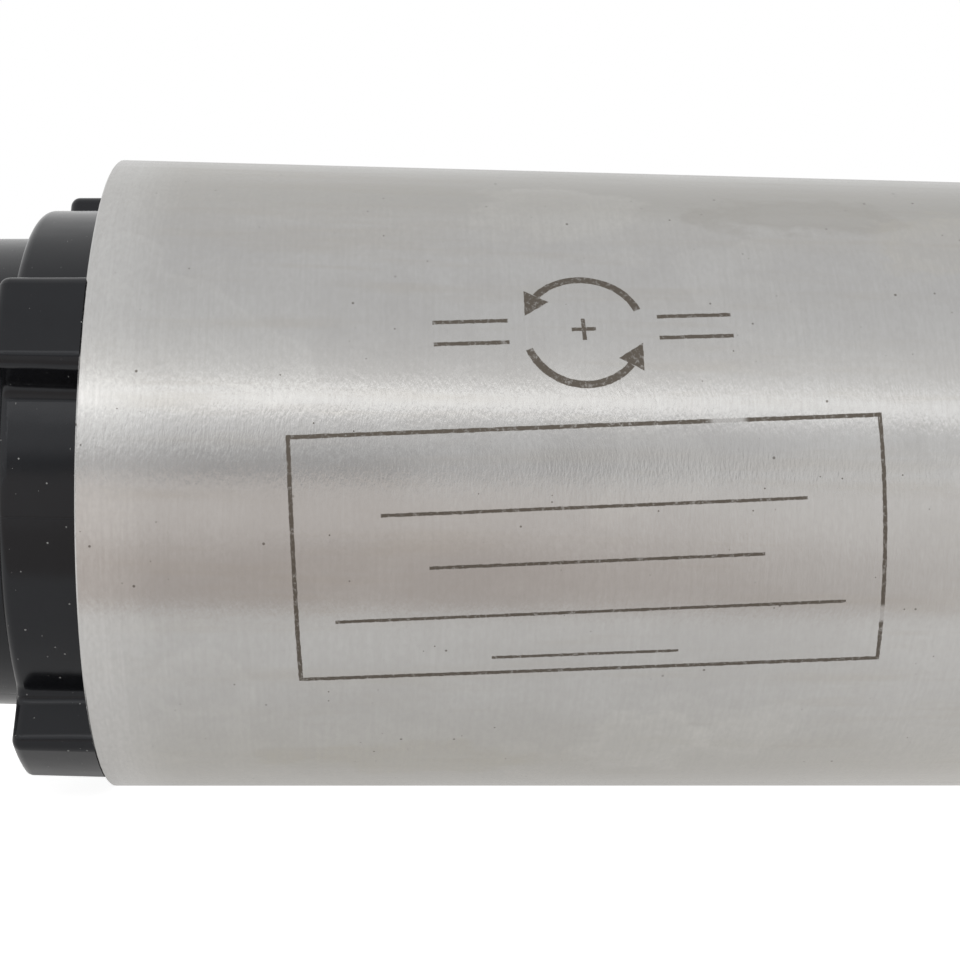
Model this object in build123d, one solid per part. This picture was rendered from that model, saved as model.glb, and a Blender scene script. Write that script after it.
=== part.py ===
from build123d import *
import math
import os

# Air-cooled router spindle: a round body held in a clamp, a collet nose at the front (+X) and a fan at the
# rear. Millimetres. X is the spindle axis; the origin is on it, in the plane of the body tube's front rim.
# Stations along X are "_x" values; angles run about +X, from +Y towards +Z.

# ---- clearances ----
seat_gap = 0.03          # radial, between round faces that are fitted together
air_gap = 0.3            # radial, between a turning face and a fixed one
hole_gap = 0.15          # radial, around a screw's shank

# ---- body tube ----
tube_d = 65.0
tube_length = 180.0
tube_wall = 2.0
tube_edge = 0.15         # chamfer on both rims

# ---- radial build inside the tube ----
channel_depth = 3.13     # cooling channel between the jacket and the tube
jacket_wall = 2.0

# ---- rear bell: black end piece with four screw ears ----
bell_height = 7.8        # stands proud of the tube's rear rim
spigot_depth = 6.0       # enters the tube
bell_wall = 3.0
bell_draft = 1.5         # degrees, towards its end face
ear_width = 9.4
ear_inset = 0.05         # ears end this far inside the tube's outer face
ear_angles = (64.8, 154.8, 240.5, 330.5)
ear_corner_r = 1.4
ear_root_r = 1.2
bell_edge_r = 1.0
bell_mouth_chamfer = 0.4

# ---- fan hood ----
hood_length = 33.0       # behind the tube's rear rim
hood_wall = 2.4
hood_draft = 1.5         # degrees, behind the bell
hood_foot = 2.9          # thickness of the foot that the bell traps
hood_foot_reach = 1.3
hood_corner_r = 3.5
hood_end_wall = 3.0
vent_count = 16
vent_width = 2.2
vent_inner_r = 13.6
vent_depth = 10.0

# ---- screws (M3 socket head) ----
screw_d = 3.0
screw_head_d = 5.5
screw_head_height = 3.0
screw_hex = 2.5
screw_key_depth = 1.5
screw_land = 1.0         # metal left outside the screw, under the tube
bell_screw_length = 35.0
cover_screw_length = 40.0
counterbore_gap = 0.25
counterbore_sink = 0.4

# ---- rear bracket, which carries the rear bearing ----
bracket_disc = 4.0
bracket_lip = 3.0
bracket_hub_length = 14.0
bracket_length = 18.0
bracket_hub_wall = 3.4
foot_width = 8.0

# ---- bearings: bore, outer diameter, width, ball diameter, ball count ----
front_bearing = (15.0, 32.0, 9.0, 4.762, 11)
rear_bearing = (12.0, 28.0, 8.0, 4.762, 9)
ball_gap = 0.06
shoulder_height = 2.6    # ring shoulder beside a bearing
spring_height = 2.2
spring_wall = 0.6

# ---- cooling jacket, stator and windings ----
fin_width = 1.4
fins_per_quarter = 5
front_housing_depth = 30.0
front_end_room = 28.0    # jacket's front end to the stack
rear_end_room = 18.0
stack_bore_d = 29.0
slot_count = 12
slot_root = 4.0          # iron behind each slot
tooth_width = 3.6
tooth_lip = 1.3
slot_opening = 1.8
winding_gap = 0.35
end_turn_length = 12.0
end_turn_corner_r = 2.2
lead_d = 1.6
lead_bend_r = 1.5
lead_first_cross = 1.7   # from the pins to the first leads' way outwards
lead_space = 0.6
lead_pitch = 8.0         # degrees between leads, along the hood's wall

# ---- rotor and shaft ----
end_ring_length = 5.0
end_ring_wall = 4.4
shaft_rotor_d = 14.6
stub_d = 8.0
fan_nut_flats = 13.0
fan_nut_height = 4.0
stub_end = 0.5           # thread that shows past the fan nut
locknut_d = 22.0
locknut_length = 7.0
locknut_notch = 3.0

# ---- fan ----
fan_length = 13.5
fan_front = 2.0          # fan hub's front face, inside the rear rim
fan_tip_room = 3.6       # fan to hood, where the leads pass
fan_hub_d = 13.0
fan_plate_d = 29.0
fan_plate = 1.6
blade_count = 9
blade_wall = 1.2
blade_curve_r = 14.0
blade_sweep = 75.0

# ---- front housing, cover and nose ----
cover_thickness = 6.0
cover_inset = 0.3
cover_edge = 0.5
front_nose_room = 10.0   # front bearing pair to the tube's front rim
hub_wall = 3.5
pocket_hub_fillet = 2.0
pocket_wall_fillet = 1.5
outlet_width = 3.2
outlets_per_quarter = 3
outlet_pitch = 22.0
outlet_arc = 13.0
collar_d = 20.0
collar_end = 7.0
slinger_d = 29.0
slinger_width = 3.0
neck_d = 16.5
neck_end = 16.0
neck_flats = 13.0
nose_end = 28.0
nose_thread_d = 14.0
nose_bore_d = 7.2
nose_bore_depth = 43.0

# ---- collet (ER11 form) and its nut ----
shank_d = 6.0
collet_length = 18.0
collet_d = 11.5
collet_taper_length = 13.5
collet_half_angle = 8.0
collet_gauge_d = 11.0    # taper diameter at the nose's end face
collet_groove = 2.0
collet_groove_d = 9.5
collet_head_d = 11.2
collet_head_half_angle = 30.0
collet_slit = 0.5
collet_slits = 6         # from each end
collet_slit_stop = 2.5   # metal that each slit leaves
collet_slit_start = 7.5  # angle of the first slit
nut_flats = 17.0
nut_d = 19.0
nut_length = 11.3
nut_overhang = 0.6       # nut's front face ahead of the collet
nut_lip = 1.0
nut_front_d = 14.0

# ---- power socket: round, four pins ----
socket_thread_d = 15.8
socket_flange_d = 19.5
socket_flange = 1.6
socket_reach = 11.0      # barrel behind the hood
socket_tail = 7.0        # shell inside the hood, from its outer face
socket_bore_d = 12.6
socket_nut_flats = 19.0
socket_nut_height = 2.6
insert_front = 4.0       # insert's face, behind the hood's face
insert_length = 12.0
pin_count = 4
pin_circle_r = 3.2
pin_d = 2.0
pin_reach = 6.0
pin_tail = 3.0
key_width = 2.0

# ---- derived radii ----
tube_r = tube_d / 2
tube_bore_r = tube_r - tube_wall
inside_r = tube_bore_r - seat_gap
jacket_r = tube_bore_r - channel_depth
jacket_bore_r = jacket_r - jacket_wall
drum_r = jacket_r
ear_r = tube_r - ear_inset
bell_bore_r = drum_r - bell_wall
hood_r = bell_bore_r - seat_gap
hood_bore_r = hood_r - hood_wall
screw_circle_r = tube_bore_r - screw_land - screw_d / 2
fan_r = hood_bore_r - fan_tip_room
lead_circle_r = hood_bore_r - lead_d / 2 - 0.5
rotor_r = stack_bore_d / 2 - air_gap

# ---- derived stations ----
rear_rim = -tube_length
bell_end_x = rear_rim - bell_height
bracket_x = rear_rim + spigot_depth
bracket_end_x = bracket_x + bracket_length
hood_end_x = rear_rim - hood_length
rear_bearing_x = bracket_x + bracket_lip + spring_height
rear_bearing_end_x = rear_bearing_x + rear_bearing[2]
jacket_end_x = -front_housing_depth
stack_x = bracket_end_x + rear_end_room
stack_end_x = jacket_end_x - front_end_room
front_bearing_end_x = -front_nose_room
front_bearing_x = front_bearing_end_x - 2 * front_bearing[2]
locknut_x = front_bearing_x - locknut_length
fan_front_x = rear_rim + fan_front
fan_rear_x = fan_front_x - fan_length
stub_end_x = fan_rear_x - fan_nut_height - stub_end
collet_x = nose_end - collet_taper_length + (collet_d - collet_gauge_d) / 2 / math.tan(
    math.radians(collet_half_angle)
)
nut_end_x = collet_x + collet_length + nut_overhang
nut_x = nut_end_x - nut_length
next_ears = ear_angles[1:] + ear_angles[:1]
ear_gap_middles = [angle + (after - angle) % 360 / 2 for angle, after in zip(ear_angles, next_ears)]


def profile(outline, rounds=()):
    """Closed (x, radius) outline; each of rounds is a corner's (x, radius) and its fillet."""
    face = make_face(Polyline(*outline, close=True))
    for x, r, fillet_r in rounds:
        face = fillet(face.vertices().sort_by_distance((x, r, 0))[0], fillet_r)
    return face


def turned(outline, rounds=()):
    return revolve(profile(outline, rounds), Axis.X)


def ring(x0, x1, inner_r, outer_r):
    return turned([(x0, inner_r), (x1, inner_r), (x1, outer_r), (x0, outer_r)])


def rod(x0, x1, r):
    return turned([(x0, 0), (x1, 0), (x1, r), (x0, r)])


def along(x0, x1, section):
    """Cross-section, drawn with its x as +Y and its y as +Z, extruded from x0 to x1."""
    return extrude(Plane.YZ.offset(x0) * section, x1 - x0)


def around(shape, angle):
    return Rot(angle, 0, 0) * shape


def spoke(inner_r, outer_r, width, angle):
    return Rot(0, 0, angle) * Pos((inner_r + outer_r) / 2, 0) * Rectangle(outer_r - inner_r, width)


def ribbed_ring(inner_r, ring_r, rib_r, wide, narrow, per_quarter, pitch):
    """Ring section with a wide rib at each ear's angle and narrow ones between."""
    section = Circle(ring_r)
    for angle in ear_angles:
        section += spoke(inner_r, rib_r + 1, wide, angle)
    for middle in ear_gap_middles:
        for k in range(per_quarter):
            section += spoke(inner_r, rib_r + 1, narrow, middle + (k - (per_quarter - 1) / 2) * pitch)
    return section & Circle(rib_r) - Circle(inner_r)


def hexagon(flats):
    return RegularPolygon(flats / 2, 6, major_radius=False)


# ---- casing ----

def body_tube():
    tube = ring(rear_rim, 0, tube_bore_r, tube_r)
    return chamfer(tube.edges().filter_by(GeomType.CIRCLE), tube_edge)


def screw_seat(face_x, into, through_x):
    """Cutter for one counterbored screw hole at angle 0; into is +1 or -1 along X."""
    floor_x = face_x + into * (screw_head_height + counterbore_sink)
    head = rod(min(face_x - into, floor_x), max(face_x - into, floor_x), screw_head_d / 2 + counterbore_gap)
    shank = rod(min(floor_x, through_x), max(floor_x, through_x), screw_d / 2 + hole_gap)
    return Pos(0, screw_circle_r, 0) * (head + shank)


def at_ears(shape):
    return [around(shape, angle) for angle in ear_angles]


def rear_bell():
    section = Circle(drum_r)
    for angle in ear_angles:
        section += spoke(0, ear_r + 1, ear_width, angle) & Circle(ear_r)
    corners = section.vertices()
    section = fillet(corners.filter_by(lambda v: Vector(*v).length > drum_r + 1), ear_corner_r)
    roots = section.vertices().filter_by(
        lambda v: abs(Vector(*v).length - drum_r) < 0.01 and abs(Vector(*v).length - ear_r) > 1
    )
    section = fillet(roots, ear_root_r)
    bell = extrude(Plane.YZ.offset(rear_rim) * section, -bell_height, taper=bell_draft)
    rear_face = bell.faces().sort_by(Axis.X)[0]
    bell = fillet(rear_face.edges(), bell_edge_r)
    bell += rod(rear_rim - 1, bracket_x, drum_r - 1) + rod(rear_rim, bracket_x, inside_r)
    foot_x = bracket_x - hood_foot
    bell -= rod(bell_end_x - 1, bracket_x + 1, bell_bore_r)
    bell -= rod(foot_x, bracket_x + 1, bell_bore_r + hood_foot_reach)
    for cutter in at_ears(screw_seat(bell_end_x, 1, bracket_x + 1)):
        bell -= cutter
    mouth = bell.edges().filter_by(GeomType.CIRCLE).filter_by(
        lambda e: abs(e.radius - bell_bore_r) < 0.01 and abs(e.center().X - bell_end_x) < 0.01
    )
    land = screw_circle_r - screw_head_d / 2 - counterbore_gap - bell_bore_r
    return chamfer(mouth, min(bell_mouth_chamfer, 0.8 * land))


def fan_hood():
    foot_r = bell_bore_r + hood_foot_reach - seat_gap
    foot_x = bracket_x - hood_foot + seat_gap
    inner_x = hood_end_x + hood_end_wall
    hole_r = socket_thread_d / 2 + seat_gap
    end_r = hood_r - (bell_end_x - hood_end_x) * math.tan(math.radians(hood_draft))
    shell = turned(
        [
            (hood_end_x, hole_r), (hood_end_x, end_r), (bell_end_x, hood_r), (foot_x, hood_r),
            (foot_x, foot_r), (bracket_x, foot_r), (bracket_x, hood_bore_r), (inner_x, hood_bore_r),
            (inner_x, hole_r),
        ],
        [(hood_end_x, end_r, hood_corner_r), (inner_x, hood_bore_r, hood_corner_r - hood_wall)],
    )
    side_x = hood_end_x + vent_depth
    end_cut = along(hood_end_x - 1, inner_x + 1, Pos(vent_inner_r, 0) * Circle(vent_width / 2))
    side_cut = Pos(side_x, hood_r, 0) * Rot(90, 0, 0) * Cylinder(vent_width / 2, 4 * hood_wall)
    slab = Pos((hood_end_x + side_x - 1) / 2, (vent_inner_r + hood_r + 2) / 2, 0) * Box(
        side_x - hood_end_x + 1, hood_r + 2 - vent_inner_r, vent_width
    )
    for k in range(vent_count):
        angle = ear_angles[0] + 360 / vent_count * (k + 0.5)
        for cutter in (end_cut, side_cut, slab):
            shell -= around(cutter, angle)
    return shell


def socket_screw(floor_x, into, length):
    """One socket-head screw at angle 0; its head lies on floor_x."""
    head_x = floor_x - into * screw_head_height
    tip_x = floor_x + into * length
    body = rod(min(head_x, floor_x), max(head_x, floor_x), screw_head_d / 2)
    body = chamfer(body.edges().filter_by(lambda e: abs(e.center().X - head_x) < 0.01), 0.3)
    body += rod(min(floor_x, tip_x), max(floor_x, tip_x), screw_d / 2)
    key_x = head_x + into * screw_key_depth
    body -= along(min(head_x, key_x), max(head_x, key_x), hexagon(screw_hex))
    return Pos(0, screw_circle_r, 0) * body


def bell_screws():
    floor_x = bell_end_x + screw_head_height + counterbore_sink
    return Compound(children=at_ears(socket_screw(floor_x, 1, bell_screw_length)))


def cover_screws():
    floor_x = cover_thickness - screw_head_height - counterbore_sink
    return Compound(children=at_ears(socket_screw(floor_x, -1, cover_screw_length)))


# ---- power socket ----

def socket_shell():
    flange_x = hood_end_x - socket_flange
    thread_r = socket_thread_d / 2
    bore_r = socket_bore_d / 2
    end_x = hood_end_x - socket_reach
    shell = turned(
        [
            (end_x, bore_r), (end_x, thread_r - 0.5), (end_x + 0.5, thread_r), (flange_x, thread_r),
            (flange_x, socket_flange_d / 2), (hood_end_x, socket_flange_d / 2),
            (hood_end_x, thread_r), (hood_end_x + socket_tail, thread_r), (hood_end_x + socket_tail, bore_r),
        ],
        [(flange_x, socket_flange_d / 2, 0.4)],
    )
    key = Pos((end_x + hood_end_x - insert_front) / 2, 0, bore_r) * Box(
        hood_end_x - insert_front - end_x, key_width, 1.0
    )
    return shell - key


def socket_insert():
    face_x = hood_end_x - insert_front
    body = rod(face_x, face_x + insert_length, socket_bore_d / 2 - seat_gap)
    hole = Pos(0, pin_circle_r, 0) * rod(face_x - 1, face_x + insert_length + 1, pin_d / 2 + seat_gap)
    for angle in pin_angles():
        body -= around(hole, angle)
    return body


def pin_angles():
    return [ear_angles[0] + 360 / pin_count * k for k in range(pin_count)]


def socket_pins():
    face_x = hood_end_x - insert_front
    tip_x = face_x - pin_reach
    pin = Pos(0, pin_circle_r, 0) * rod(tip_x, face_x + insert_length + pin_tail, pin_d / 2)
    pin = fillet(pin.edges().filter_by(lambda e: abs(e.center().X - tip_x) < 0.01), pin_d / 2 - 0.3)
    return Compound(children=[around(pin, a) for a in pin_angles()])


def socket_nut():
    x0 = hood_end_x + hood_end_wall
    section = hexagon(socket_nut_flats) - Circle(socket_thread_d / 2 + seat_gap)
    return along(x0, x0 + socket_nut_height, section)


# ---- rear bracket ----

def rear_bracket():
    hub_r = rear_bearing[1] / 2 + bracket_hub_wall
    lip_r = rear_bearing[1] / 2 - shoulder_height
    bracket = turned(
        [
            (bracket_x, lip_r), (bracket_x, inside_r), (bracket_x + bracket_disc, inside_r),
            (bracket_x + bracket_disc, hub_r + 1), (bracket_x + bracket_hub_length, hub_r),
            (bracket_x + bracket_hub_length, rear_bearing[1] / 2 + seat_gap),
            (bracket_x + bracket_lip, rear_bearing[1] / 2 + seat_gap), (bracket_x + bracket_lip, lip_r),
        ],
        [(bracket_x + bracket_disc, hub_r + 1, 2.0)],
    )
    window = Circle(jacket_bore_r + 1) - Circle(hub_r + 1)
    for angle in ear_angles:
        window -= spoke(0, tube_r, foot_width, angle)
    bracket -= along(bracket_x - 1, bracket_x + bracket_disc + 1, window)
    for angle in ear_angles:
        foot = spoke(jacket_bore_r, tube_r, foot_width, angle) & Circle(inside_r)
        bracket += along(bracket_x + bracket_disc, bracket_end_x, foot)
    hole = Pos(0, screw_circle_r, 0) * rod(bracket_x - 1, bracket_end_x + 1, screw_d / 2 + hole_gap)
    for cutter in at_ears(hole):
        bracket -= cutter
    return bracket


def preload_spring():
    """Disc spring between the bracket's lip and the rear bearing's outer ring."""
    lip_x = bracket_x + bracket_lip
    outer_r = rear_bearing[1] / 2 - 0.2
    inner_r = rear_bearing[1] / 2 - shoulder_height + 0.3
    rise = spring_height - spring_wall
    return turned(
        [
            (lip_x, inner_r), (lip_x + spring_wall, inner_r),
            (lip_x + rise + spring_wall, outer_r), (lip_x + rise, outer_r),
        ]
    )


# ---- bearings ----

def race_r(bearing):
    return (bearing[0] + bearing[1]) / 4


def land(bearing, side):
    """Radius of a ring's land; side is -1 on the inner ring and +1 on the outer."""
    return race_r(bearing) + side * bearing[3] * 0.42


def groove(bearing, x0):
    middle = x0 + bearing[2] / 2
    circle = Pos(middle, race_r(bearing)) * Circle(bearing[3] / 2 + ball_gap)
    return revolve(circle, Axis.X)


def inner_ring(bearing, x0):
    return ring(x0, x0 + bearing[2], bearing[0] / 2 + seat_gap, land(bearing, -1)) - groove(bearing, x0)


def outer_ring(bearing, x0):
    return ring(x0, x0 + bearing[2], land(bearing, 1), bearing[1] / 2) - groove(bearing, x0)


def ball_angles(bearing):
    return [360 / bearing[4] * k for k in range(bearing[4])]


def cage(bearing, x0):
    gap = bearing[3] * 0.42 - 0.45
    body = ring(x0 + 0.6, x0 + bearing[2] - 0.6, race_r(bearing) - gap / 2, race_r(bearing) + gap)
    pocket = Pos(x0 + bearing[2] / 2, race_r(bearing), 0) * Rot(90, 0, 0) * Cylinder(
        bearing[3] / 2 + 0.1, bearing[3] * 2
    )
    for angle in ball_angles(bearing):
        body -= around(pocket, angle)
    return body


def balls(bearing, x0):
    ball = Pos(x0 + bearing[2] / 2, race_r(bearing), 0) * Sphere(bearing[3] / 2)
    return [around(ball, angle) for angle in ball_angles(bearing)]


def front_pair(make):
    return [make(front_bearing, front_bearing_x + k * front_bearing[2]) for k in range(2)]


# ---- cooling jacket, stator and windings ----

def cooling_jacket():
    pitch = 90 / (fins_per_quarter + 1)
    section = ribbed_ring(
        jacket_bore_r, jacket_r, inside_r, foot_width, fin_width, fins_per_quarter, pitch
    )
    jacket = along(bracket_end_x, jacket_end_x, section)
    bell_tip_x = bell_end_x + screw_head_height + counterbore_sink + bell_screw_length
    cover_tip_x = cover_thickness - screw_head_height - counterbore_sink - cover_screw_length
    for x0, x1 in ((bracket_end_x - 1, bell_tip_x + 1), (cover_tip_x - 1, jacket_end_x + 1)):
        hole = Pos(0, screw_circle_r, 0) * rod(x0, x1, screw_d / 2 + seat_gap)
        for cutter in at_ears(hole):
            jacket -= cutter
    return jacket


def slot_section(angle, gap):
    """Slot between two parallel-sided teeth, shrunk by gap all round for the coil in it."""
    root_r = jacket_bore_r - slot_root - gap
    mouth_r = stack_bore_d / 2 + tooth_lip + gap
    step = 180 / slot_count
    wedge_edge = tooth_width / 2 + gap

    def flank(r, side):
        a = math.asin(wedge_edge / r)
        turn = math.radians(step) - a
        return (r * math.cos(turn), side * r * math.sin(turn))

    with BuildSketch() as slot:
        with BuildLine():
            Line(flank(mouth_r, -1), flank(root_r, -1))
            ThreePointArc(flank(root_r, -1), (root_r, 0), flank(root_r, 1))
            Line(flank(root_r, 1), flank(mouth_r, 1))
            ThreePointArc(flank(mouth_r, 1), (mouth_r, 0), flank(mouth_r, -1))
        make_face()
    return Rot(0, 0, angle) * slot.sketch


def slot_angles():
    return [360 / slot_count * k for k in range(slot_count)]


def stator_core():
    section = Circle(jacket_bore_r - seat_gap) - Circle(stack_bore_d / 2)
    for angle in slot_angles():
        section -= slot_section(angle, 0)
        section -= spoke(stack_bore_d / 2 - 1, stack_bore_d / 2 + tooth_lip + 1, slot_opening, angle)
    return along(stack_x, stack_end_x, section)


def stator_windings():
    inner_r = stack_bore_d / 2 + tooth_lip
    outer_r = jacket_bore_r - 1
    windings = []
    for x0, x1, tip_x in (
        (stack_x - end_turn_length, stack_x, stack_x - end_turn_length),
        (stack_end_x, stack_end_x + end_turn_length, stack_end_x + end_turn_length),
    ):
        windings.append(
            turned(
                [(x0, inner_r), (x1, inner_r), (x1, outer_r), (x0, outer_r)],
                [(tip_x, inner_r, end_turn_corner_r), (tip_x, outer_r, end_turn_corner_r)],
            )
        )
    coils = windings[0] + windings[1]
    for angle in slot_angles():
        coils += along(stack_x, stack_end_x, slot_section(angle, winding_gap))
    return coils


def motor_leads():
    """Three leads from the socket's pins, along the hood's wall and through the bracket, to the windings."""
    start_x = hood_end_x - insert_front + insert_length + pin_tail
    end_x = stack_x - end_turn_length
    middle = ear_angles[0] - 45
    near_x = start_x + lead_first_cross
    far_x = near_x + lead_d + lead_space
    leads = []
    for pin_angle, rim_angle, cross_x in (
        (middle - 45, middle - lead_pitch, near_x),
        (middle + 45, middle + lead_pitch, near_x),
        (middle + 135, middle, far_x),
    ):
        pin = Vector(pin_circle_r, 0).rotate(Axis.Z, pin_angle)
        rim = Vector(lead_circle_r, 0).rotate(Axis.Z, rim_angle)
        path = FilletPolyline(
            (start_x, pin.X, pin.Y), (cross_x, pin.X, pin.Y), (cross_x, rim.X, rim.Y), (end_x, rim.X, rim.Y),
            radius=lead_bend_r,
        )
        leads.append(sweep(Plane(path @ 0, z_dir=(1, 0, 0)) * Circle(lead_d / 2), path))
    return Compound(children=leads)


# ---- front housing and cover ----

def front_housing():
    seat_r = front_bearing[1] / 2 + seat_gap
    lip_r = front_bearing[1] / 2 - shoulder_height
    hub_r = front_bearing[1] / 2 + hub_wall
    lip_x = front_bearing_x - bracket_lip
    housing = turned(
        [
            (lip_x, lip_r), (lip_x, hub_r), (-front_nose_room, hub_r), (-front_nose_room, jacket_bore_r),
            (jacket_end_x, jacket_bore_r), (jacket_end_x, jacket_r), (0, jacket_r), (0, seat_r),
            (front_bearing_x, seat_r), (front_bearing_x, lip_r),
        ],
        [
            (-front_nose_room, hub_r, min(pocket_hub_fillet, 0.4 * (jacket_bore_r - hub_r))),
            (-front_nose_room, jacket_bore_r, min(pocket_wall_fillet, 0.3 * (jacket_bore_r - hub_r))),
        ],
    )
    lands = ribbed_ring(
        jacket_r - 1, jacket_r - 0.5, inside_r,
        foot_width, outlet_width, outlets_per_quarter - 1, outlet_pitch,
    )
    housing += along(jacket_end_x, 0, lands)
    bosses = Sketch() + [
        spoke(jacket_bore_r - 1.5, jacket_r, foot_width, angle) for angle in ear_angles
    ]
    housing += along(jacket_end_x, 0, bosses)
    hole = Pos(0, screw_circle_r, 0) * rod(jacket_end_x - 1, 1, screw_d / 2 + hole_gap)
    for cutter in at_ears(hole):
        housing -= cutter
    return housing


def front_cover():
    seat_r = front_bearing[1] / 2 - seat_gap
    cover_r = tube_r - cover_inset
    ring_clear_r = front_bearing[1] / 2 - shoulder_height
    collar_r = collar_d / 2 + air_gap
    well_r = slinger_d / 2 + 1
    cover = turned(
        [
            (front_bearing_end_x, ring_clear_r), (front_bearing_end_x, seat_r), (0, seat_r), (0, cover_r),
            (cover_thickness, cover_r), (cover_thickness, well_r), (cover_thickness - 1, well_r - 1),
            (cover_thickness - 1, collar_r), (-3, collar_r), (-3, ring_clear_r),
        ],
        [(cover_thickness, cover_r, cover_edge)],
    )
    outlet_r = (jacket_r + tube_bore_r) / 2 - 0.2
    for middle in ear_gap_middles:
        for k in range(outlets_per_quarter):
            start = middle + (k - (outlets_per_quarter - 1) / 2) * outlet_pitch - outlet_arc / 2
            arc = CenterArc((0, 0), outlet_r, start, outlet_arc)
            cover -= along(-1, cover_thickness + 1, SlotArc(arc, outlet_width))
    for cutter in at_ears(screw_seat(cover_thickness, -1, -1)):
        cover -= cutter
    return cover


# ---- rotor ----

def spindle_shaft():
    collar_r, neck_r, thread_r = collar_d / 2, neck_d / 2, nose_thread_d / 2
    front_r, rear_r = front_bearing[0] / 2, rear_bearing[0] / 2
    stub_r, rotor_seat_r = stub_d / 2, shaft_rotor_d / 2
    bore_r, gauge_r = nose_bore_d / 2, collet_gauge_d / 2
    taper_x = nose_end - (gauge_r - bore_r) / math.tan(math.radians(collet_half_angle))
    shaft = turned(
        [
            (stub_end_x, 0), (stub_end_x, stub_r - 0.5), (stub_end_x + 0.5, stub_r), (fan_front_x, stub_r),
            (fan_front_x, rear_r), (rear_bearing_end_x, rear_r), (rear_bearing_end_x, rotor_seat_r),
            (locknut_x, rotor_seat_r), (locknut_x, front_r), (front_bearing_end_x, front_r),
            (front_bearing_end_x, collar_r), (collar_end, collar_r), (collar_end, neck_r),
            (neck_end, neck_r), (neck_end, thread_r - 0.6), (neck_end + 1, thread_r - 0.6),
            (neck_end + 1.6, thread_r), (nose_end - 0.5, thread_r), (nose_end, thread_r - 0.5),
            (nose_end, gauge_r), (taper_x, bore_r), (nose_end - nose_bore_depth, bore_r),
            (nose_end - nose_bore_depth - bore_r * 0.6, 0),
        ]
    )
    flats_x = collar_end + slinger_width + 0.5
    flats = Circle(neck_r + 1) - Rectangle(2 * neck_r + 4, neck_flats)
    return shaft - along(flats_x, neck_end, flats)


def rotor_core():
    return ring(stack_x, stack_end_x, shaft_rotor_d / 2 + seat_gap, rotor_r)


def rotor_end_rings():
    inner_r = rotor_r - 0.8 - end_ring_wall
    rings = [
        ring(x0, x0 + end_ring_length, inner_r, rotor_r - 0.8)
        for x0 in (stack_x - end_ring_length, stack_end_x)
    ]
    return Compound(children=rings)


def bearing_locknut():
    body = ring(locknut_x, front_bearing_x, front_bearing[0] / 2 + seat_gap, locknut_d / 2)
    for k in range(4):
        notch = spoke(locknut_d / 2 - 1.6, locknut_d / 2 + 1, locknut_notch, 90 * k)
        body -= along(locknut_x - 1, front_bearing_x - locknut_length / 2, notch)
    return body


def rear_spacer():
    return ring(fan_front_x, rear_bearing_x, rear_bearing[0] / 2 + seat_gap, rear_bearing[0] / 2 + 2)


def dust_slinger():
    neck_r = neck_d / 2 + seat_gap
    return turned(
        [
            (collar_end, neck_r), (collar_end + slinger_width, neck_r),
            (collar_end + slinger_width, collar_d / 2 + 0.6), (collar_end + 1.2, slinger_d / 2),
            (collar_end, slinger_d / 2),
        ]
    )


def fan_impeller():
    bore_r, hub_r, plate_r = stub_d / 2 + seat_gap, fan_hub_d / 2, fan_plate_d / 2
    plate_x = rear_rim - 1
    hub = turned(
        [
            (fan_rear_x, bore_r), (fan_rear_x, hub_r), (plate_x - 5, hub_r + 0.5),
            (plate_x, plate_r), (plate_x + fan_plate, plate_r), (plate_x + fan_plate, hub_r + 1),
            (fan_front_x, hub_r + 1), (fan_front_x, bore_r),
        ],
        [(plate_x - 5, hub_r + 0.5, 6.0)],
    )
    envelope = turned(
        [
            (fan_rear_x + 0.5, hub_r - 1), (fan_rear_x + 0.5, fan_r - 3), (fan_rear_x + 5, fan_r),
            (plate_x + fan_plate, fan_r), (plate_x + fan_plate, plate_r - 1), (plate_x - 4, hub_r - 1),
        ]
    )
    blade_arc = JernArc((hub_r - 1.5, 0), (1, 0), blade_curve_r, blade_sweep)
    blade = along(fan_rear_x, fan_front_x, trace(blade_arc, blade_wall)) & envelope
    for k in range(blade_count):
        hub += around(blade, 360 / blade_count * k)
    return hub


def fan_nut():
    section = hexagon(fan_nut_flats) - Circle(stub_d / 2 + seat_gap)
    nut = along(fan_rear_x - fan_nut_height, fan_rear_x, section)
    corner_r = fan_nut_flats / 2 / math.cos(math.pi / 6)
    crown = turned(
        [
            (fan_rear_x - fan_nut_height, 0), (fan_rear_x - fan_nut_height, fan_nut_flats / 2 - 0.2),
            (fan_rear_x - fan_nut_height + 0.8, corner_r + 0.1), (fan_rear_x, corner_r + 0.1),
            (fan_rear_x, 0),
        ]
    )
    return nut & crown


# ---- collet and nut ----

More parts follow.
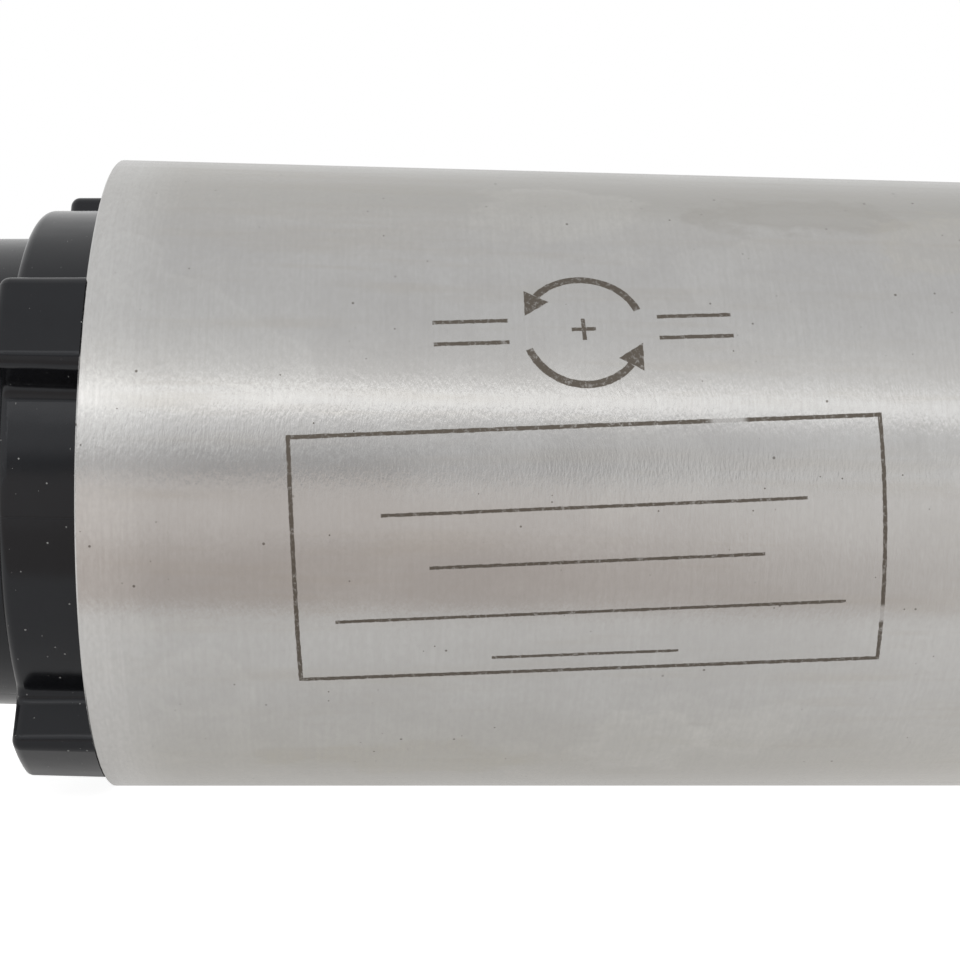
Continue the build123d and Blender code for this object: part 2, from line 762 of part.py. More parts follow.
def spring_collet():
    tan_taper = math.tan(math.radians(collet_half_angle))
    tan_head = math.tan(math.radians(collet_head_half_angle))
    taper_end_x = collet_x + collet_taper_length
    head_x = taper_end_x + collet_groove
    end_x = collet_x + collet_length
    small_r = collet_d / 2 - collet_taper_length * tan_taper - seat_gap
    collet = turned(
        [
            (collet_x, shank_d / 2), (collet_x, small_r), (taper_end_x, collet_d / 2 - seat_gap),
            (taper_end_x, collet_groove_d / 2), (head_x, collet_groove_d / 2), (head_x, collet_head_d / 2),
            (end_x, collet_head_d / 2 - (end_x - head_x) * tan_head), (end_x, shank_d / 2),
        ]
    )
    front_slit = Pos((collet_x + collet_slit_stop + end_x + 1) / 2, collet_d / 4 + 0.5, 0) * Box(
        end_x + 1 - collet_x - collet_slit_stop, collet_d / 2 + 1, collet_slit
    )
    rear_slit = Pos((collet_x - 1 + taper_end_x - collet_slit_stop) / 2, collet_d / 4 + 0.5, 0) * Box(
        taper_end_x - collet_slit_stop - collet_x + 1, collet_d / 2 + 1, collet_slit
    )
    step = 360 / collet_slits
    for k in range(collet_slits):
        collet -= around(front_slit, collet_slit_start + step * k)
        collet -= around(rear_slit, collet_slit_start + step * (k + 0.5))
    return collet


def collet_nut():
    tan_head = math.tan(math.radians(collet_head_half_angle))
    head_x = collet_x + collet_taper_length + collet_groove
    thread_end_x = nose_end + 1.0
    lip_x = head_x - 0.4 - nut_lip
    head_r = collet_head_d / 2 + 0.1
    mouth_r = head_r - (collet_x + collet_length - head_x) * tan_head
    corner_r = nut_flats / 2 / math.cos(math.pi / 6)
    inside = turned(
        [
            (nut_x - 1, 0), (nut_x - 1, nose_thread_d / 2 + 1), (nut_x, nose_thread_d / 2 + 0.6),
            (nut_x + 0.6, nose_thread_d / 2 + 2 * seat_gap),
            (thread_end_x, nose_thread_d / 2 + 2 * seat_gap), (thread_end_x, collet_d / 2 + 0.4),
            (lip_x, collet_d / 2 + 0.4), (lip_x, 0),
        ]
    )
    inside += turned(
        [
            (head_x - 0.4, 0), (head_x - 0.4, head_r), (head_x, head_r),
            (collet_x + collet_length, mouth_r), (nut_end_x + 1, mouth_r), (nut_end_x + 1, 0),
        ]
    )
    lip_r = (collet_groove_d + collet_head_d) / 4 + 0.1
    lip_offset = lip_r - collet_groove_d / 2 - 0.2
    inside += Pos(0, lip_offset, 0) * rod(lip_x - 0.1, head_x, lip_r)
    body = along(nut_x, nut_end_x, hexagon(nut_flats)) & turned(
        [
            (nut_x, 0), (nut_x, nut_d / 2 - 0.6), (nut_x + 0.6, nut_d / 2), (nut_end_x - 4.5, nut_d / 2),
            (nut_end_x - 3.2, nut_flats / 2 - 0.1), (nut_end_x, nut_front_d / 2), (nut_end_x, 0),
        ]
    )
    return body - inside


pieces = {
    "body_tube": body_tube(),
    "rear_bell": rear_bell(),
    "fan_hood": fan_hood(),
    "bell_screws": bell_screws(),
    "power_socket": socket_shell(),
    "socket_insert": socket_insert(),
    "socket_pins": socket_pins(),
    "socket_nut": socket_nut(),
    "rear_bracket": rear_bracket(),
    "preload_spring": preload_spring(),
    "rear_outer_ring": outer_ring(rear_bearing, rear_bearing_x),
    "cooling_jacket": cooling_jacket(),
    "stator_core": stator_core(),
    "stator_windings": stator_windings(),
    "motor_leads": motor_leads(),
    "front_housing": front_housing(),
    "front_outer_rings": Compound(children=front_pair(outer_ring)),
    "front_cover": front_cover(),
    "cover_screws": cover_screws(),
    "spindle_shaft": spindle_shaft(),
    "rotor_core": rotor_core(),
    "rotor_end_rings": rotor_end_rings(),
    "front_inner_rings": Compound(children=front_pair(inner_ring)),
    "rear_inner_ring": inner_ring(rear_bearing, rear_bearing_x),
    "bearing_locknut": bearing_locknut(),
    "rear_spacer": rear_spacer(),
    "dust_slinger": dust_slinger(),
    "fan_impeller": fan_impeller(),
    "fan_nut": fan_nut(),
    "front_cages": Compound(children=front_pair(cage)),
    "front_balls": Compound(children=sum(front_pair(balls), [])),
    "rear_cage": cage(rear_bearing, rear_bearing_x),
    "rear_balls": Compound(children=balls(rear_bearing, rear_bearing_x)),
    "spring_collet": spring_collet(),
    "collet_nut": collet_nut(),
}

os.makedirs("parts", exist_ok=True)
for node, shape in pieces.items():
    export_step(shape, f"parts/{node}.step")
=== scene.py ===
import math
import bpy
from mathutils import Matrix, Vector


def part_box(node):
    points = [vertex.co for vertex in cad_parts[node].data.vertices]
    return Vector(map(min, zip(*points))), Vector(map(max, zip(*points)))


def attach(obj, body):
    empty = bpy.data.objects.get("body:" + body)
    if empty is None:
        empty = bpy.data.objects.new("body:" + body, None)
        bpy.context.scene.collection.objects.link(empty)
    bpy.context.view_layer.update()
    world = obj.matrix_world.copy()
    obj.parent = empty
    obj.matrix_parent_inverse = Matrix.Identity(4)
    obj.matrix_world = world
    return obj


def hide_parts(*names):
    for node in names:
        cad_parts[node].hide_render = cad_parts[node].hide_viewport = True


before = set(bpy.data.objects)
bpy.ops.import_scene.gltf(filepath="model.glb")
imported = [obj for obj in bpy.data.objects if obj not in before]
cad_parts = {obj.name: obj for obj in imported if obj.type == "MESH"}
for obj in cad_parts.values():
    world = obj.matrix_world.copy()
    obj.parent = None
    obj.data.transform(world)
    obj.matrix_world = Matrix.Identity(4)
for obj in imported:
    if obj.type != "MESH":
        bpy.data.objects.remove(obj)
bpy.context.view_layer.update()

MM = 0.001

# Where the tube stands in the row frame, in metres: axis along X, front rim at X = 0.
tube_low, tube_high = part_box("body_tube")
TUBE_R = tube_high.z
REAR_RIM = tube_low.x
FLOOR_Z = -TUBE_R


def set_camera():
    """Looks at the tube's rear half from the side, level with its axis."""
    focal_px = 1669.76
    picture_px = 960
    beside_rim = 24.50 * MM
    distance = 178.68 * MM
    yaw, pitch, roll = -0.0724320, -0.00137295, 0.01319376
    lens = bpy.data.cameras.new("camera")
    lens.sensor_width = 36.0
    lens.lens = lens.sensor_width * focal_px / picture_px
    lens.clip_start = 0.01
    camera = bpy.data.objects.new("camera", lens)
    turn = (
        Matrix.Rotation(yaw, 4, "Z")
        @ Matrix.Rotation(math.pi / 2 + pitch, 4, "X")
        @ Matrix.Rotation(roll, 4, "Z")
    )
    camera.matrix_world = Matrix.Translation((REAR_RIM + beside_rim, -distance, 0)) @ turn
    bpy.context.scene.collection.objects.link(camera)
    bpy.context.scene.camera = camera


set_camera()


# ---- shader building ----

class Field:
    """A number that varies over a surface. Arithmetic on it adds Math nodes to its shader."""

    def __init__(self, shader, socket):
        self.shader = shader
        self.socket = socket

    def op(self, operation, *values):
        made = self.shader.node("ShaderNodeMath", {"operation": operation}, dict(enumerate(values)))
        return Field(self.shader, made.outputs[0])

    def __add__(self, other):
        return self.op("ADD", self, other)

    def __mul__(self, other):
        return self.op("MULTIPLY", self, other)

    def __sub__(self, other):
        return self.op("SUBTRACT", self, other)

    def __rsub__(self, other):
        return self.op("SUBTRACT", other, self)

    def __truediv__(self, other):
        return self.op("DIVIDE", self, other)

    __radd__ = __add__
    __rmul__ = __mul__

    def __abs__(self):
        return self.op("ABSOLUTE", self)

    def largest(self, other):
        return self.op("MAXIMUM", self, other)

    def root(self):
        return self.op("SQRT", self)

    def sine(self):
        return self.op("SINE", self)

    def ramp(self, low, high, to_low=0.0, to_high=1.0):
        """to_low below low, to_high above high, and a smooth step between."""
        made = self.shader.node(
            "ShaderNodeMapRange",
            {"interpolation_type": "SMOOTHSTEP", "clamp": True},
            {"Value": self, "From Min": low, "From Max": high, "To Min": to_low, "To Max": to_high},
        )
        return Field(self.shader, made.outputs[0])

    def over(self, edge, softness):
        """0 below edge, 1 above it, rising over softness."""
        return self.ramp(edge - softness / 2, edge + softness / 2)

    def under(self, edge, softness):
        """1 below edge, 0 above it."""
        return self.ramp(edge - softness / 2, edge + softness / 2, 1.0, 0.0)


class Shader:
    """A node tree, built node by node."""

    # A Mix node has sockets for every kind of data. These are the places of those for colours.
    MIX_FACTOR, MIX_A, MIX_B, MIX_RESULT = 0, 6, 7, 2

    def __init__(self, owner):
        owner.use_nodes = True
        self.tree = owner.node_tree
        self.tree.nodes.clear()

    def node(self, kind, settings=None, sockets=None):
        made = self.tree.nodes.new(kind)
        for name, value in (settings or {}).items():
            setattr(made, name, value)
        for name, value in (sockets or {}).items():
            self.feed(made.inputs[name], value)
        return made

    def feed(self, socket, value):
        if isinstance(value, Field):
            self.tree.links.new(value.socket, socket)
        elif isinstance(value, bpy.types.NodeSocket):
            self.tree.links.new(value, socket)
        else:
            socket.default_value = value

    def parts(self, vector):
        outputs = self.node("ShaderNodeSeparateXYZ", None, {0: vector}).outputs
        return [Field(self, outputs[k]) for k in range(3)]

    def vector(self, x, y, z):
        return self.node("ShaderNodeCombineXYZ", None, {0: x, 1: y, 2: z}).outputs[0]

    def mix(self, amount, first, second):
        """Colour mix; amount is a field."""
        made = self.node(
            "ShaderNodeMix", {"data_type": "RGBA"},
            {self.MIX_FACTOR: amount, self.MIX_A: first, self.MIX_B: second},
        )
        return made.outputs[self.MIX_RESULT]

    def diffuse(self, color):
        return self.node("ShaderNodeBsdfDiffuse", None, {"Color": color}).outputs[0]

    def emission(self, color, strength):
        sockets = {"Color": color, "Strength": strength}
        return self.node("ShaderNodeEmission", None, sockets).outputs[0]

    def mix_shaders(self, amount, first, second):
        return self.node("ShaderNodeMixShader", None, {0: amount, 1: first, 2: second}).outputs[0]

    def ray_kind(self, *rays):
        """1 for the kinds of ray named, else 0."""
        path = self.node("ShaderNodeLightPath").outputs
        total = Field(self, path[rays[0]])
        for ray in rays[1:]:
            total = total.largest(Field(self, path[ray]))
        return total


class Finish(Shader):
    """One material. Its patterns read the place on the object in millimetres."""

    def __init__(self, name):
        self.material = bpy.data.materials.new(name)
        super().__init__(self.material)
        place = self.node("ShaderNodeTexCoord").outputs["Object"]
        self.x, self.y, self.z = [part * (1 / MM) for part in self.parts(place)]

    def around(self):
        """Angle about the X axis in radians, from -Y towards +Z."""
        return self.z.op("ARCTAN2", self.z, self.y * -1)

    def radius(self):
        return (self.y * self.y + self.z * self.z).root()

    def noise(self, per_x, per_y, per_z, detail=2.0, roughness=0.5, offset=0.0):
        """Noise with its features' number per millimetre along each axis."""
        where = self.vector(self.x * per_x + offset, self.y * per_y, self.z * per_z)
        made = self.node(
            "ShaderNodeTexNoise", None,
            {"Vector": where, "Scale": 1.0, "Detail": detail, "Roughness": roughness},
        )
        return Field(self, made.outputs[0])

    def flecks(self, per_x, per_y, per_z, size, share, offset=0.0):
        """Scattered spots: size is in cells, and share of the cells hold one."""
        where = self.vector(self.x * per_x + offset, self.y * per_y, self.z * per_z)
        made = self.node(
            "ShaderNodeTexVoronoi", None, {"Vector": where, "Scale": 1.0, "Randomness": 1.0}
        )
        near = Field(self, made.outputs["Distance"])
        chance = self.parts(made.outputs["Color"])[0]
        return near.under(size, size * 0.6) * chance.under(share, 0.02)

    def bump(self, height, distance):
        """Distance is in metres, for a height of 1."""
        sockets = {"Height": height, "Distance": distance, "Strength": 1.0}
        return self.node("ShaderNodeBump", None, sockets).outputs[0]

    def surface(self, **values):
        """Principled surface. base_color, for one, goes to its Base Color socket."""
        sockets = {
            name.replace("_", " ").title().replace("Ior", "IOR"): value
            for name, value in values.items()
        }
        shader = self.node("ShaderNodeBsdfPrincipled", None, sockets)
        self.node("ShaderNodeOutputMaterial", None, {"Surface": shader.outputs[0]})
        return self.material


def rgb(red, green, blue):
    return (red, green, blue, 1.0)


def dress(finish, *nodes):
    for node in nodes:
        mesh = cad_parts[node].data
        mesh.materials.clear()
        mesh.materials.append(finish)


# ---- etched marks on the tube ----

# Widths of etched lines, mm.
LINE, THIN_LINE, BOLD_LINE = 0.38, 0.3, 0.7

# Places are in mm: along X from the rear rim, and round the tube upwards.
FRAME_PLACE = (45.26, -6.75)
FRAME_HALF = (26.4, 11.5)
FRAME_TILT = math.radians(3.1)
# Each row in the frame: its height over the centre, its middle and its half length, mm.
FRAME_ROWS = ((4.3, 0.4, 19.0), (-0.6, 0.5, 15.0), (-5.4, 0.0, 23.0), (-9.8, -0.6, 8.5))

ARROW_PLACE = (44.5, 13.9)
ARROW_R = 5.4
ARROW_STARTS = (math.radians(20), math.radians(200))
ARROW_SWEEP = math.radians(118)
ARROW_HEAD = (2.4, 1.25)               # length and half width, mm
ARROW_HEAD_TURN = math.pi / 2 + 0.2    # from its arc's radius: along the arc and a little inwards
CROSS_HALF = 1.1


class Drawing:
    """Plane of an etching: u along the tube and v round it, in mm from a centre, tilted."""

    def __init__(self, finish, place, tilt):
        along = finish.x - (REAR_RIM / MM + place[0])
        round_it = finish.around() * (TUBE_R / MM) - place[1]
        self.u = along * math.cos(tilt) + round_it * math.sin(tilt)
        self.v = round_it * math.cos(tilt) - along * math.sin(tilt)
        self.waver = (finish.noise(1.6, 1.6, 1.6, 3.0, 0.6) - 0.5) * 0.16

    def stroke(self, distance, width=LINE):
        return (abs(distance) + self.waver).under(width / 2, 0.07)

    def frame(self, half_u, half_v):
        return self.stroke((abs(self.u) - half_u).largest(abs(self.v) - half_v))

    def rule(self, middle_u, half_u, v, width=LINE):
        """A straight line along u."""
        ends = (abs(self.u - middle_u)).under(half_u, 0.1)
        return self.stroke(self.v - v, width) * ends

    def arc(self, radius, from_angle, to_angle, width=LINE):
        """Arc about the centre, anticlockwise between two angles under half a turn apart."""
        length = (self.u * self.u + self.v * self.v).root()
        middle = (from_angle + to_angle) / 2
        cosine = (self.u * math.cos(middle) + self.v * math.sin(middle)) / length
        inside = cosine.over(math.cos((to_angle - from_angle) / 2), 0.02)
        return self.stroke(length - radius, width) * inside

    def triangle(self, u, v, heading, length, half_width):
        """Filled arrow head whose base is at (u, v)."""
        ahead = (self.u - u) * math.cos(heading) + (self.v - v) * math.sin(heading)
        aside = (self.v - v) * math.cos(heading) - (self.u - u) * math.sin(heading)
        slope = half_width / length
        edge = (abs(aside) + ahead * slope - half_width).largest(ahead * -1)
        return (edge + self.waver).under(0.0, 0.08)


def rating_frame(finish):
    """Frame with four blank ruled rows; a worn gap in its top and its right side."""
    drawing = Drawing(finish, FRAME_PLACE, FRAME_TILT)
    mark = drawing.frame(*FRAME_HALF)
    gap_top = abs(drawing.u - 12.6).under(1.6, 0.8) * drawing.v.over(5.0, 0.1)
    gap_side = abs(drawing.v + 6.8).under(0.8, 0.5) * drawing.u.over(20.0, 0.1)
    mark = mark * (1 - gap_top * 0.75) * (1 - gap_side * 0.85)
    for v, middle_u, half_u in FRAME_ROWS:
        mark = mark.largest(drawing.rule(middle_u, half_u, v, THIN_LINE))
    return mark


def turning_arrow(finish):
    """Sign for the way the shaft turns: two arrows round a cross, and two lines at each side."""
    drawing = Drawing(finish, ARROW_PLACE, FRAME_TILT)
    mark = drawing.rule(0, CROSS_HALF, 0)
    for start in ARROW_STARTS:
        end = start + ARROW_SWEEP
        head_u, head_v = ARROW_R * math.cos(end), ARROW_R * math.sin(end)
        mark = mark.largest(drawing.arc(ARROW_R, start, end, BOLD_LINE))
        mark = mark.largest(drawing.triangle(head_u, head_v, end + ARROW_HEAD_TURN, *ARROW_HEAD))
    for side in (-1, 1):
        for v in (-1.1, 1.1):
            mark = mark.largest(drawing.rule(side * 10.2, 3.4, v))
    upright = Drawing(finish, ARROW_PLACE, FRAME_TILT + math.pi / 2)
    return mark.largest(upright.rule(0, CROSS_HALF, 0))


# ---- finishes ----

# Lighter and darker spots on the tube. Each has its place (mm from the rear rim, degrees round the
# axis), its half size in mm (along, round), and how much of which tone it takes.
TONE_SPOTS = (
    ((42.7, 51.5), (7.0, 5.0), 0.34, rgb(0.60, 0.59, 0.56)),
    ((66.9, 52.0), (10.5, 3.4), 0.42, rgb(0.36, 0.345, 0.31)),
    ((80.0, 44.0), (6.5, 5.5), 0.28, rgb(0.57, 0.54, 0.47)),
    ((52.1, -51.5), (5.6, 4.6), 0.40, rgb(0.62, 0.615, 0.59)),
    ((60.5, -49.0), (3.6, 3.8), 0.30, rgb(0.62, 0.615, 0.59)),
    ((30.0, -57.0), (11.0, 3.4), 0.28, rgb(0.46, 0.43, 0.36)),
)


def tone_spot(f, place, half, warp):
    """Distance from a spot's middle, 1 at its edge, made irregular by warp."""
    along = (f.x - (REAR_RIM / MM + place[0])) / half[0]
    round_it = (f.around() - math.radians(place[1])) * (TUBE_R / MM / half[1])
    return (along * along + round_it * round_it).root() + warp


def brushed_stainless():
    """Tube: brushed round the axis, with lighter and darker spots, streaks, pits and the etched
    marks, and painted shade at its top and bottom.
    """
    f = Finish("brushed_stainless")
    from_rim = f.x - REAR_RIM / MM
    angle = f.around()
    grain = f.noise(4.5, 1.5, 1.5, 2.0, 0.6)
    fine = f.noise(2.6, 1.3, 1.3, 4.0, 0.6, 31.0)
    long_lines = f.noise(3.2, 0.12, 0.12, 3.0, 0.6, 77.0).ramp(0.30, 0.70)
    patches = f.noise(0.07, 0.11, 0.11, 4.0, 0.6, 5.0).ramp(0.35, 0.65)
    along_lines = f.noise(0.035, 0.42, 0.42, 4.0, 0.6, 64.0).ramp(0.48, 0.72)
    marks = f.noise(0.055, 0.075, 0.075, 2.0, 0.45, 23.0)
    water = marks.ramp(0.60, 0.625) * marks.ramp(0.63, 0.70, 1.0, 0.35)
    color = f.mix(patches, rgb(0.495, 0.49, 0.482), rgb(0.530, 0.527, 0.520))
    color = f.mix(along_lines * 0.30, color, rgb(0.455, 0.425, 0.375))
    color = f.mix(water * 0.25, color, rgb(0.60, 0.595, 0.58))
    # Painted shade: darker and warmer towards the top and bottom of the tube, away from -Y.
    painted_edge_shade = abs(angle).ramp(math.radians(35), math.radians(62))
    color = f.mix(painted_edge_shade * 0.40, color, rgb(0.505, 0.485, 0.430))
    # Painted shade: a darker band along the top of the tube, fainter near the rear rim.
    painted_top_shade = angle.ramp(math.radians(46), math.radians(57))
    painted_top_shade = painted_top_shade * angle.ramp(math.radians(95), math.radians(150), 1.0, 0.0)
    painted_top_shade = painted_top_shade * from_rim.ramp(5.0, 55.0, 0.45, 1.0)
    color = f.mix(painted_top_shade * 0.55, color, rgb(0.385, 0.378, 0.350))
    warp = (f.noise(0.14, 0.20, 0.20, 4.0, 0.62, 2.0) - 0.5) * 2.6
    for place, half, amount, tone in TONE_SPOTS:
        spot = tone_spot(f, place, half, warp)
        cover = spot.under(1.0, 0.5) * spot.ramp(0.3, 0.95, 0.55, 1.0)    # strongest near its edge
        color = f.mix(cover * amount, color, tone)
    color = f.mix(from_rim.ramp(1.0, 8.0, 0.62, 0.0), color, rgb(0.66, 0.655, 0.645))
    color = f.mix(long_lines * 0.20, color, rgb(0.44, 0.43, 0.415))
    color = f.mix(fine.ramp(0.3, 0.7) * 0.22, color, rgb(0.42, 0.41, 0.40))
    specks = f.flecks(0.8, 0.8, 0.8, 0.10, 0.045)
    pits = f.flecks(2.0, 2.0, 2.0, 0.14, 0.012, 40.0)
    worn = f.noise(2.6, 2.6, 2.6, 4.0, 0.7, 3.0).ramp(0.28, 0.5, 0.45, 1.0)
    mark = rating_frame(f).largest(turning_arrow(f)) * worn
    color = f.mix(mark, color, rgb(0.115, 0.098, 0.080))
    color = f.mix((specks * 0.8).largest(pits), color, rgb(0.12, 0.105, 0.09))
    rough = grain * 0.08 + patches * 0.04 + along_lines * 0.02 + 0.155 + mark * 0.25
    return f.surface(
        base_color=color, metallic=1.0 - mark * 0.45, roughness=rough,
        normal=f.bump(grain, 0.023 * MM),
    )


def moulded(name, shade, pale, gloss, seam=None, parting=None):
    """Satin moulding, faintly wavy, dusty, and marked by its mould's seam or parting line."""
    f = Finish(name)
    skin = f.noise(3.5, 3.5, 3.5, 3.0, 0.6)
    wave = f.noise(0.18, 0.18, 0.18, 2.0, 0.4, 9.0)
    cloud = f.noise(0.5, 0.5, 0.5, 4.0, 0.6, 50.0)
    dust = f.flecks(1.2, 1.2, 1.2, 0.11, 0.13)
    powder = f.flecks(3.0, 3.0, 3.0, 0.12, 0.035, 90.0)
    lint = f.flecks(1.6, 0.35, 0.6, 0.06, 0.10, 12.0)
    specks = dust.largest(lint * 0.7).largest(powder * 0.5)
    color = f.mix(cloud.ramp(0.3, 0.8) * 0.6, shade, pale)
    color = f.mix(specks, color, rgb(0.32, 0.32, 0.31))
    rough = skin * 0.04 + cloud * 0.08 + gloss + specks * 0.4
    height = skin * 0.10 + wave * 6.0
    for angle, depth in ((seam, 1.0), (parting, 0.4)):
        if angle is not None:
            line = abs(f.around() - math.radians(angle)) * f.radius()
            height = height - line.under(0.09, 0.10) * depth * 3.0
    return f.surface(
        base_color=color, roughness=rough, specular_ior_level=0.38, specular_tint=COOL_GLOSS,
        normal=f.bump(height, 0.012 * MM),
    )


def turned_metal(name, color, dull, roughness, lines=5.0):
    """Metal cut on a lathe: fine lines round the axis, and a thin film of handling marks."""
    f = Finish(name)
    cut = f.noise(lines, 0.08, 0.08, 3.0, 0.7)
    film = f.noise(0.12, 0.12, 0.12, 4.0, 0.6, 7.0).ramp(0.4, 0.7)
    scratches = f.noise(0.4, 5.0, 1.5, 3.0, 0.7, 33.0).ramp(0.66, 0.78)
    tint = f.mix(film * 0.6, color, dull)
    rough = cut * 0.10 + film * 0.08 + scratches * 0.1 + roughness
    return f.surface(
        base_color=tint, metallic=1.0, roughness=rough, normal=f.bump(cut, 0.008 * MM)
    )


def drawn_metal(name, color, dull, roughness):
    """Extruded metal: die lines along the axis."""
    f = Finish(name)
    lines = f.noise(0.04, 6.0, 6.0, 3.0, 0.6)
    film = f.noise(0.15, 0.3, 0.3, 4.0, 0.6, 7.0).ramp(0.4, 0.7)
    tint = f.mix(film * 0.5, color, dull)
    return f.surface(
        base_color=tint, metallic=1.0, roughness=lines * 0.15 + film * 0.1 + roughness,
        normal=f.bump(lines, 0.01 * MM),
    )


def cast_metal(name, color, dull):
    """Cast metal: a granular skin with shallow pits."""
    f = Finish(name)
    grit = f.noise(3.0, 3.0, 3.0, 5.0, 0.7)
    pits = f.flecks(1.2, 1.2, 1.2, 0.18, 0.25)
    cloud = f.noise(0.3, 0.3, 0.3, 3.0, 0.6, 4.0)
    tint = f.mix(cloud.ramp(0.3, 0.7), color, dull)
    return f.surface(
        base_color=tint, metallic=1.0, roughness=grit * 0.2 + 0.35,
        normal=f.bump(grit - pits, 0.05 * MM),
    )


def blackened_metal(name):
    """Black oxide: bluish black, worn to brown and bare steel in small rubbed spots."""
    f = Finish(name)
    grit = f.noise(2.5, 2.5, 2.5, 4.0, 0.6)
    rubbed = f.noise(0.9, 0.9, 0.9, 5.0, 0.7, 21.0).ramp(0.60, 0.72)
    color = f.mix(rubbed * 0.7, rgb(0.030, 0.031, 0.035), rgb(0.13, 0.115, 0.10))
    return f.surface(
        base_color=color, metallic=0.85, roughness=grit * 0.12 + 0.30,
        normal=f.bump(grit, 0.006 * MM),
    )


def anodised_black():
    """Front cover: turned, then blasted and anodised black."""
    f = Finish("anodised_black")
    blast = f.noise(7.0, 7.0, 7.0, 2.0, 0.6)
    cloud = f.noise(0.12, 0.12, 0.12, 4.0, 0.6, 8.0)
    dust = f.flecks(0.5, 0.5, 0.5, 0.05, 0.20)
    color = f.mix(cloud.ramp(0.3, 0.7), rgb(0.016, 0.016, 0.018), rgb(0.024, 0.024, 0.026))
    color = f.mix(dust * 0.7, color, rgb(0.3, 0.3, 0.29))
    return f.surface(
        base_color=color, metallic=0.35, roughness=blast * 0.15 + 0.36,
        normal=f.bump(blast, 0.008 * MM),
    )


def plated_metal(name, color, roughness):
    """Bright plating over a lightly polished part, with hairline scratches."""
    f = Finish(name)
    haze = f.noise(0.3, 0.3, 0.3, 4.0, 0.6)
    hairs = f.noise(1.5, 9.0, 2.0, 3.0, 0.7, 5.0).ramp(0.62, 0.75)
    return f.surface(
        base_color=color, metallic=1.0, roughness=haze * 0.10 + hairs * 0.10 + roughness,
        normal=f.bump(hairs * -1, 0.004 * MM),
    )


def stacked_sheets(name):
    """Electrical steel laminations with a dull coat."""
    f = Finish(name)
    sheet_mm = 0.5
    sheet = (f.x * (2 * math.pi / sheet_mm)).sine()
    stain = f.noise(0.4, 0.4, 0.4, 4.0, 0.6)
    color = f.mix(stain.ramp(0.35, 0.65), rgb(0.10, 0.10, 0.105), rgb(0.17, 0.155, 0.14))
    return f.surface(
        base_color=color, metallic=0.8, roughness=stain * 0.2 + 0.4,
        normal=f.bump(sheet, 0.04 * MM),
    )


def wound_copper():
    """Enamelled wire turns under a coat of varnish."""
    f = Finish("wound_copper")
    bend = f.noise(0.25, 0.25, 0.25, 2.0, 0.5)
    wires = (f.x * 9.0 + f.around() * 14.0 + bend * 16.0).sine()
    color = f.mix(wires.ramp(-1.0, 0.4), rgb(0.12, 0.035, 0.012), rgb(0.50, 0.19, 0.075))
    return f.surface(
        base_color=color, metallic=0.6, roughness=bend * 0.1 + 0.28,
        normal=f.bump(wires, 0.12 * MM),
    )


def woven_phenolic():
    """Ball cages: cloth-filled resin."""
    f = Finish("woven_phenolic")
    warp = (f.x * 8.0).sine()
    weft = (f.around() * 90.0).sine()
    cloth = warp * weft
    color = f.mix(cloth.ramp(-1.0, 1.0), rgb(0.23, 0.115, 0.045), rgb(0.36, 0.20, 0.085))
    return f.surface(
        base_color=color, roughness=cloth * 0.05 + 0.5, normal=f.bump(cloth, 0.01 * MM)
    )


def silicone_sleeve():
    """Leads: rubbery sleeves with a fine surface crease."""
    f = Finish("silicone_sleeve")
    crease = f.noise(2.0, 2.0, 2.0, 3.0, 0.6)
    color = f.mix(crease.ramp(0.3, 0.7), rgb(0.33, 0.022, 0.016), rgb(0.42, 0.035, 0.025))
    return f.surface(
        base_color=color, roughness=crease * 0.2 + 0.45, normal=f.bump(crease, 0.02 * MM)
    )


BLACK = rgb(0.0045, 0.0048, 0.0060)
SOFT_BLACK = rgb(0.0065, 0.0069, 0.0084)
COOL_GLOSS = rgb(0.93, 0.95, 1.0)
SEAM_ANGLE, PARTING_ANGLE = -65.2, -8.7    # degrees round the axis, from -Y towards +Z

dress(brushed_stainless(), "body_tube")
dress(moulded("moulded_bell", BLACK, SOFT_BLACK, 0.10, parting=PARTING_ANGLE), "rear_bell")
dress(moulded("moulded_hood", BLACK, SOFT_BLACK, 0.13, seam=SEAM_ANGLE), "fan_hood")
dress(
    moulded("moulded_fan", rgb(0.010, 0.010, 0.010), rgb(0.016, 0.016, 0.016), 0.28),
    "fan_impeller",
)
dress(
    moulded("moulded_insert", rgb(0.012, 0.012, 0.013), rgb(0.02, 0.02, 0.02), 0.30),
    "socket_insert",
)
dress(anodised_black(), "front_cover")
dress(
    blackened_metal("black_oxide"),
    "bell_screws", "cover_screws", "fan_nut", "bearing_locknut",
)
dress(plated_metal("nickel_plate", rgb(0.60, 0.57, 0.52), 0.14), "power_socket", "socket_nut")
dress(plated_metal("gold_flash", rgb(0.80, 0.56, 0.22), 0.18), "socket_pins")
dress(
    plated_metal("ground_bearing_steel", rgb(0.60, 0.60, 0.61), 0.08),
    "rear_outer_ring", "front_outer_rings", "rear_inner_ring", "front_inner_rings",
    "rear_balls", "front_balls",
)
dress(
    turned_metal("ground_steel", rgb(0.56, 0.56, 0.55), rgb(0.47, 0.46, 0.44), 0.16, 9.0),
    "spindle_shaft", "rear_spacer", "spring_collet",
)
dress(
    turned_metal("turned_nut", rgb(0.50, 0.50, 0.50), rgb(0.41, 0.40, 0.38), 0.20, 4.0),
    "collet_nut",
)
dress(
    turned_metal("turned_aluminium", rgb(0.70, 0.70, 0.70), rgb(0.60, 0.60, 0.59), 0.22, 4.0),
    "dust_slinger",
)
dress(
    turned_metal("blued_spring", rgb(0.22, 0.25, 0.33), rgb(0.30, 0.27, 0.24), 0.25),
    "preload_spring",
)
dress(
    drawn_metal("extruded_aluminium", rgb(0.66, 0.66, 0.66), rgb(0.56, 0.56, 0.55), 0.28),
    "cooling_jacket",
)
